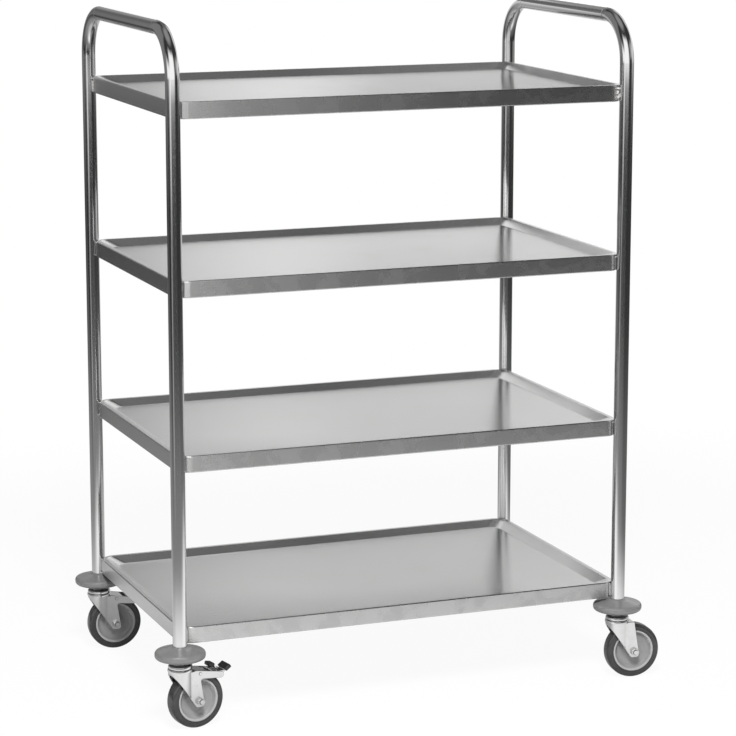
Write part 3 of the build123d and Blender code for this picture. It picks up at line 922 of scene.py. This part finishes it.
def nutMesh():
    high = -axle["cheek"]
    low = high - axle["nut"]
    bore = axle["bore"]
    face = axle["flat"] * axle["face"]
    steps = 6 * axle["parts"]
    half = math.pi / 6
    angles = [2 * math.pi * step / steps for step in range(steps)]
    reaches = [axle["flat"] / math.cos((angle + half) % (2 * half) - half) for angle in angles]
    cones = [(reach, (reach - face) * axle["cone"]) for reach in reaches]
    rings = [
        [(bore, low + axle["sink"])] * steps,
        [(bore + axle["sink"], low)] * steps,
        [(face, low)] * steps,
        [(reach, low + drop) for reach, drop in cones],
        [(reach, high - drop) for reach, drop in cones],
        [(face, high)] * steps,
        [(bore, high)] * steps,
    ]
    verts = []
    for ring in rings:
        for (reach, level), angle in zip(ring, angles):
            verts.append((reach * math.cos(angle) * mm, level * mm, reach * math.sin(angle) * mm))
    return faceOutward(plainMesh("axleNut", verts, bandFaces(len(rings), steps, True)))


# brake pedal caps, in the sloping plane of the brake arms
brake = {"rootX": 21.0, "rootZ": 97.75, "slope": 8.0, "pin": 45.5, "innerTip": (-14.5, 14.8),
         "innerKnee": (-4.0, 14.2), "outerBend": (12.5, 4.8), "outerTip": (22.0, 13.2), "thick": 6.5,
         "overhang": 2.0, "grip": 0.8, "innerWide": 19.0, "outerWide": 28.0, "edge": 1.5, "ribs": 4,
         "ribPitch": 0.2, "ribLong": 1.0, "ribShort": 5, "ribTall": 0.9, "ribEdge": 0.3}


def armSpot(along, up):
    slope = math.radians(brake["slope"])
    return Vector((brake["rootX"] + along * math.cos(slope) + up * math.sin(slope), 0.0,
                   brake["rootZ"] - along * math.sin(slope) + up * math.cos(slope)))


# sizes and edge radius in millimetres
def addRoundedBox(form, sizes, edge, place, segments):
    scaled = Matrix.Diagonal((*[side * mm for side in sizes], 1.0))
    made = bmesh.ops.create_cube(form, size=1.0, matrix=scaled)
    edges = {e for v in made["verts"] for e in v.link_edges}
    bevelled = bmesh.ops.bevel(form, geom=list(edges), offset=edge * mm, segments=segments, profile=0.5,
                               affect="EDGES")
    verts = {v for v in made["verts"] if v.is_valid} | set(bevelled["verts"])
    bmesh.ops.transform(form, matrix=place, verts=list(verts))


def pedalMesh():
    form = bmesh.new()
    ends = (
        (brake["innerKnee"], brake["innerTip"], brake["innerWide"]),
        (brake["outerBend"], brake["outerTip"], brake["outerWide"]),
    )
    for bend, tip, wide in ends:
        start = armSpot(brake["pin"] + bend[0], bend[1])
        end = armSpot(brake["pin"] + tip[0], tip[1])
        along = (end - start).normalized()
        length = (end - start).length * brake["grip"] + brake["overhang"]
        middle = end + along * (brake["overhang"] - length / 2)
        raised = Vector((-along.z, 0.0, along.x))
        if raised.z < 0:
            raised = -raised
        turn = Matrix((along, raised.cross(along), raised)).transposed().to_4x4()
        place = Matrix.Translation(middle * mm) @ turn
        addRoundedBox(form, (length, wide, brake["thick"]), brake["edge"], place, 3)
        for rib in range(brake["ribs"]):
            offset = (rib - (brake["ribs"] - 1) / 2) * length * brake["ribPitch"]
            lift = Matrix.Translation((offset * mm, 0, brake["thick"] / 2 * mm))
            sizes = (brake["ribLong"], wide - brake["ribShort"], brake["ribTall"])
            addRoundedBox(form, sizes, brake["ribEdge"], place @ lift, 2)
    return meshFrom(form, bpy.data.meshes.new("pedalCaps"))


# a raised black ring round the rivet of each brake arm: painted shade where the rivet's shadow falls
rivet = {"along": 8.0, "up": 2.0, "inner": 2.5, "outer": 3.2, "rimOuter": 3.0, "cheek": 18.0, "sunk": -0.2,
         "proud": 0.35, "segments": 40}
rivetShadeRingForm = turnedMesh("rivetShadeRing", [
    (rivet["inner"], rivet["sunk"], 0.0),
    (rivet["outer"], rivet["sunk"], 0.0),
    (rivet["rimOuter"], rivet["proud"], 0.0),
    (rivet["inner"], rivet["proud"], 0.0),
], 1, rivet["segments"])

nutForm = nutMesh()
pedalForm = pedalMesh()
for name, corner in corners.items():
    foot = Matrix.Translation((corner["sideX"] * posts["X"], corner["sideY"] * posts["Y"], 0))
    place = foot @ Matrix.Rotation(math.radians(corner["turn"]), 4, "Z")
    hub = place @ Matrix.Translation((wheel["trail"], 0, wheel["axle"]))
    caster = f"{name}_caster"
    turning = f"{name}_wheel"
    newPiece(f"{name}Bumper", bumperForm.copy(), bumperRubber, "frame",
             (f"{name}_bumper",), foot)
    neck = newPiece(f"{name}UpperRace", raceForm.copy(), raceSteel, "frame",
                    (f"{name}_upper_race",), foot)
    neck.data.materials.append(neckSteel)
    for face in neck.data.polygons:
        face.material_index = 1 if face.center.z > race["dark"] * mm else 0
    newPiece(f"{name}RaceCollar", collarForm.copy(), raceSteel, caster, (), place)
    newPiece(f"{name}Tyre", tyreForm.copy(), tyreRubber, turning, (f"{name}_tyre",), hub)
    newPiece(f"{name}Rim", rimForm.copy(), rimPlastic, turning, (f"{name}_rim",), hub)
    newPiece(f"{name}AxleNut", nutForm.copy(), brightSteel, caster, (f"{name}_axle_nut",),
             hub, axle["sharp"])
    if corner["brake"]:
        newPiece(f"{name}PedalCaps", pedalForm.copy(), pedalPlastic, f"{name}_brake",
                 (f"{name}_brake_pedal",), place)
        spot = armSpot(rivet["along"], rivet["up"]) * mm
        for label, side in (("Front", -1), ("Back", 1)):
            spot.y = side * rivet["cheek"] * mm
            facing = Matrix.Rotation(math.radians(-90 * side), 4, "X")
            # black rings: painted shade round each rivet
            newPiece(f"{name}RivetShadeRing{label}", rivetShadeRingForm.copy(), plugPlastic, caster, (),
                     place @ Matrix.Translation(spot) @ facing)
print("casters dressed")

# studio: pale floor, white behind the object, a dim dome that only reflections see, soft lamps
studio = {"floorHalf": 9.0, "floorGrey": 0.86, "shadowShare": 0.06, "shadowReach": (0.9, 1.9), "fill": 0.28,
          "under": 0.5, "underReach": (0.0, 0.25), "rightSide": 0.62, "rightReach": (0.3, 1.4),
          "behindReach": (-0.6, 0.35), "dome": 6.0, "eyeLevel": 0.75, "dark": 0.045}
# what the floor shows to reflections: level, how far from the cart it fades, and its share behind the cart
pools = (
    {"level": 1.05, "reach": (0.3, 1.15), "behind": 0.36},
    {"level": 0.2, "reach": (1.0, 3.8), "behind": 1.0},
    {"level": 0.035, "reach": (3.0, 7.5), "behind": 2.4},
)
# a light and a dark strip of the floor away from the cart: what each adds, by bearing from -Y towards +X
strips = (
    {"level": 0.34, "bearing": (-70.0, -58.0, 4.0, 4.0), "reach": (1.2, 2.6)},
    {"level": -0.07, "bearing": (-102.0, -82.0, 5.0, 5.0), "reach": (0.9, 1.8)},
)
# lit areas of the dome: bearings from +Y towards +X and heights above eye level in degrees,
# each as low, high and the softness of both edges
panels = (
    {"level": 0.2, "bearing": (-78.0, -17.0, 8.0, 8.0), "rise": (-4.0, 58.0, 4.0, 8.0)},
    {"level": 0.3, "bearing": (-8.0, 30.0, 12.0, 6.0), "rise": (6.0, 36.0, 4.0, 6.0)},
    {"level": 1.25, "bearing": (-126.0, -86.0, 12.0, 11.0), "rise": (0.0, 21.0, 2.0, 10.0)},
    {"level": 0.75, "bearing": (-134.0, -113.0, 4.0, 5.0), "rise": (-6.0, 0.0, 2.5, 1.5)},
    {"level": 0.3, "bearing": (-181.0, 181.0, 0.5, 0.5), "rise": (69.0, 91.0, 10.0, 1.0)},
    {"level": 0.13, "bearing": (4.0, 50.0, 10.0, 8.0), "rise": (42.0, 72.0, 6.0, 5.0)},
    {"level": 0.75, "bearing": (34.0, 80.0, 8.0, 8.0), "rise": (7.0, 46.0, 4.0, 6.0)},
    {"level": 0.75, "bearing": (72.0, 118.0, 8.0, 12.0), "rise": (-1.0, 24.0, 3.0, 8.0)},
    {"level": 0.35, "bearing": (112.0, 146.0, 8.0, 8.0), "rise": (8.0, 34.0, 4.0, 6.0)},
)
# the lit area in front, with its bearing from -Y towards +X
frontPanel = {"level": 1.3, "bearing": (-54.0, 14.0, 12.0, 12.0), "rise": (-1.4, 50.0, 1.6, 9.0)}
# a bright card over the floor at the front left corner, lower than the handles: the streak on that bumper
card = {"x": (-0.9, -0.36), "y": (-0.86, -0.46), "z": 1.0, "level": 4.5}
# white cloth behind the cart: its upper edge rises in an arch and drops at the left, and it dims towards the
# floor and towards the left
cloth = {"y": 1.6, "x": (-1.4, 3.2), "top": 3.4, "left": (-0.64, -0.4), "right": (2.2, 2.8), "edge": 1.56,
         "arch": (0.2, 0.6, 0.12, 0.15), "archRise": 0.34, "soft": 0.07, "shoulder": (-0.15, 0.1),
         "shoulderDrop": 0.26, "leftFade": (-0.15, 0.55, 0.6), "lowFade": (0.6, 1.45), "lowShare": 0.4,
         "level": 1.62}


def glowMaterial(name):
    material, tree, shader = newMaterial(name)
    material.cycles.emission_sampling = "NONE"
    tree.nodes.remove(shader)
    return material, tree


def emission(tree, strength):
    return addNode(tree, "ShaderNodeEmission", Color=grey(1.0), Strength=strength).outputs[0]


def mixShader(tree, factor, a, b):
    made = addNode(tree, "ShaderNodeMixShader", Fac=factor)
    plug(tree, a, made.inputs[1])
    plug(tree, b, made.inputs[2])
    return made.outputs[0]


def showSurface(mesh, material, surface):
    tree = material.node_tree
    tree.links.new(surface, tree.nodes["Material Output"].inputs["Surface"])
    mesh.materials.append(material)


def quadMesh(name, *spots):
    return plainMesh(name, spots, [(0, 1, 2, 3)])


def onlyReflected(name, mesh):
    made = linkNew(name, mesh)
    made.visible_camera = False
    made.visible_diffuse = False
    made.visible_shadow = False


def makeFloor():
    half = studio["floorHalf"]
    mesh = quadMesh("floor", (-half, -half, 0), (half, -half, 0), (half, half, 0), (-half, half, 0))
    floor = linkNew("floor", mesh)
    material, tree = glowMaterial("paleFloor")
    spot = axesOf(tree, geometry(tree, "Position"))
    beyond = [maths(tree, "MAXIMUM", less(tree, size(tree, spot[axis]), posts[axis])) for axis in ("X", "Y")]
    away = distance(tree, *beyond)
    matt = addNode(tree, "ShaderNodeBsdfDiffuse", Color=grey(studio["floorGrey"])).outputs[0]
    share = remap(tree, away, *studio["shadowReach"], 1 - studio["shadowShare"], 1.0)
    seen = mixShader(tree, share, matt, emission(tree, 1.0))
    level = studio["dark"]
    for pool in pools:
        part = remap(tree, away, *pool["reach"], pool["level"], 0.0)
        part = product(tree, part, remap(tree, spot["Y"], *studio["behindReach"], 1.0, pool["behind"]))
        level = total(tree, level, part)
    bearing = bearingOf(tree, spot["X"], product(tree, spot["Y"], -1.0))
    for strip in strips:
        part = remap(tree, away, *strip["reach"], 0.0, strip["level"])
        part = product(tree, part, window(tree, bearing, strip["bearing"]))
        level = maths(tree, "MAXIMUM", total(tree, level, part))
    # painted shadow under the cart, and the floor painted dimmer towards the right, in what reflections see
    level = product(tree, level, remap(tree, away, *studio["underReach"], studio["under"], 1.0))
    level = product(tree, level, remap(tree, spot["X"], *studio["rightReach"], 1.0, studio["rightSide"]))
    paths = addNode(tree, "ShaderNodeLightPath").outputs
    shown = mixShader(tree, paths["Is Camera Ray"], matt, seen)
    mirrored = maths(tree, "MAXIMUM", paths["Is Glossy Ray"], paths["Is Transmission Ray"])
    showSurface(mesh, material, mixShader(tree, mirrored, shown, emission(tree, level)))


def makeDome():
    form = bmesh.new()
    bmesh.ops.create_uvsphere(form, u_segments=48, v_segments=24, radius=studio["dome"])
    mesh = meshFrom(form, bpy.data.meshes.new("dome"))
    material, tree = glowMaterial("dimDome")
    offset = vectorMaths(tree, "SUBTRACT", geometry(tree, "Position"), (0.0, 0.0, studio["eyeLevel"]))
    axes = axesOf(tree, vectorMaths(tree, "NORMALIZE", offset))
    bearing = bearingOf(tree, axes["X"], axes["Y"])
    frontBearing = bearingOf(tree, axes["X"], product(tree, axes["Y"], -1.0))
    rise = maths(tree, "DEGREES", maths(tree, "ARCSINE", axes["Z"]))
    level = studio["dark"]
    for angle, panel in [(bearing, panel) for panel in panels] + [(frontBearing, frontPanel)]:
        inside = product(tree, window(tree, angle, panel["bearing"]), window(tree, rise, panel["rise"]))
        level = total(tree, level, product(tree, inside, panel["level"]))
    showSurface(mesh, material, emission(tree, level))
    onlyReflected("dome", mesh)


def makeCloth():
    low, high = cloth["x"]
    y = cloth["y"]
    top = cloth["top"]
    mesh = quadMesh("cloth", (low, y, 0), (high, y, 0), (high, y, top), (low, y, top))
    material, tree = glowMaterial("litCloth")
    spot = axesOf(tree, geometry(tree, "Position"))
    rightEnd = remap(tree, spot["X"], *cloth["right"], 1.0, 0.0)
    sides = product(tree, remap(tree, spot["X"], *cloth["left"]), rightEnd)
    arch = product(tree, window(tree, spot["X"], cloth["arch"]), cloth["archRise"])
    drop = remap(tree, spot["X"], *cloth["shoulder"], -cloth["shoulderDrop"], 0.0)
    above = less(tree, spot["Z"], total(tree, total(tree, arch, drop), cloth["edge"]))
    lit = product(tree, sides, remap(tree, above, -cloth["soft"], cloth["soft"], 1.0, 0.0))
    level = remap(tree, spot["Z"], *cloth["lowFade"], cloth["lowShare"] * cloth["level"], cloth["level"])
    level = product(tree, level, remap(tree, spot["X"], *cloth["leftFade"], 1.0))
    clear = addNode(tree, "ShaderNodeBsdfTransparent").outputs[0]
    showSurface(mesh, material, mixShader(tree, lit, clear, emission(tree, level)))
    onlyReflected("cloth", mesh)


# lit from below alone: its back lets light through
def makeCard():
    left, right = card["x"]
    near, far = card["y"]
    z = card["z"]
    mesh = quadMesh("card", (left, near, z), (left, far, z), (right, far, z), (right, near, z))
    material, tree = glowMaterial("litCard")
    clear = addNode(tree, "ShaderNodeBsdfTransparent").outputs[0]
    shade = mixShader(tree, geometry(tree, "Backfacing"), emission(tree, card["level"]), clear)
    showSurface(mesh, material, shade)
    onlyReflected("card", mesh)


# white to the camera and to mirrors, dimmer as light
def makeWorld():
    world = bpy.data.worlds.new("studioWhite")
    scene.world = world
    world.use_nodes = True
    tree = world.node_tree
    paths = addNode(tree, "ShaderNodeLightPath").outputs
    direct = maths(tree, "MAXIMUM", paths["Is Camera Ray"], paths["Is Glossy Ray"])
    direct = maths(tree, "MAXIMUM", direct, paths["Is Transmission Ray"])
    background = tree.nodes["Background"]
    background.inputs["Color"].default_value = grey(1.0)
    plug(tree, remap(tree, direct, 0.0, 1.0, studio["fill"], 1.0), background.inputs["Strength"])


lamps = {
    "keyLamp": {"at": (-0.8, -2.4, 3.0), "aim": (0.0, 0.0, 0.4), "size": (0.9, 0.9), "watts": 150.0},
    "leftLamp": {"at": (-2.7, -1.35, 1.4), "aim": (0.0, 0.0, 0.8), "size": (1.1, 1.7), "watts": 14.0},
    "rightLamp": {"at": (2.8, -1.9, 2.3), "aim": (0.0, 0.0, 0.4), "size": (0.9, 1.3), "watts": 10.0},
}


def makeLamps():
    for name, lamp in lamps.items():
        light = bpy.data.lights.new(name, "AREA")
        light.shape = "RECTANGLE"
        light.size, light.size_y = lamp["size"]
        light.energy = lamp["watts"]
        made = linkNew(name, light)
        aim(made, lamp["at"], Vector(lamp["aim"]) - Vector(lamp["at"]))
        made.visible_camera = False
        made.visible_glossy = False


makeFloor()
makeDome()
makeCloth()
makeCard()
makeWorld()
makeLamps()
print("studio lit")
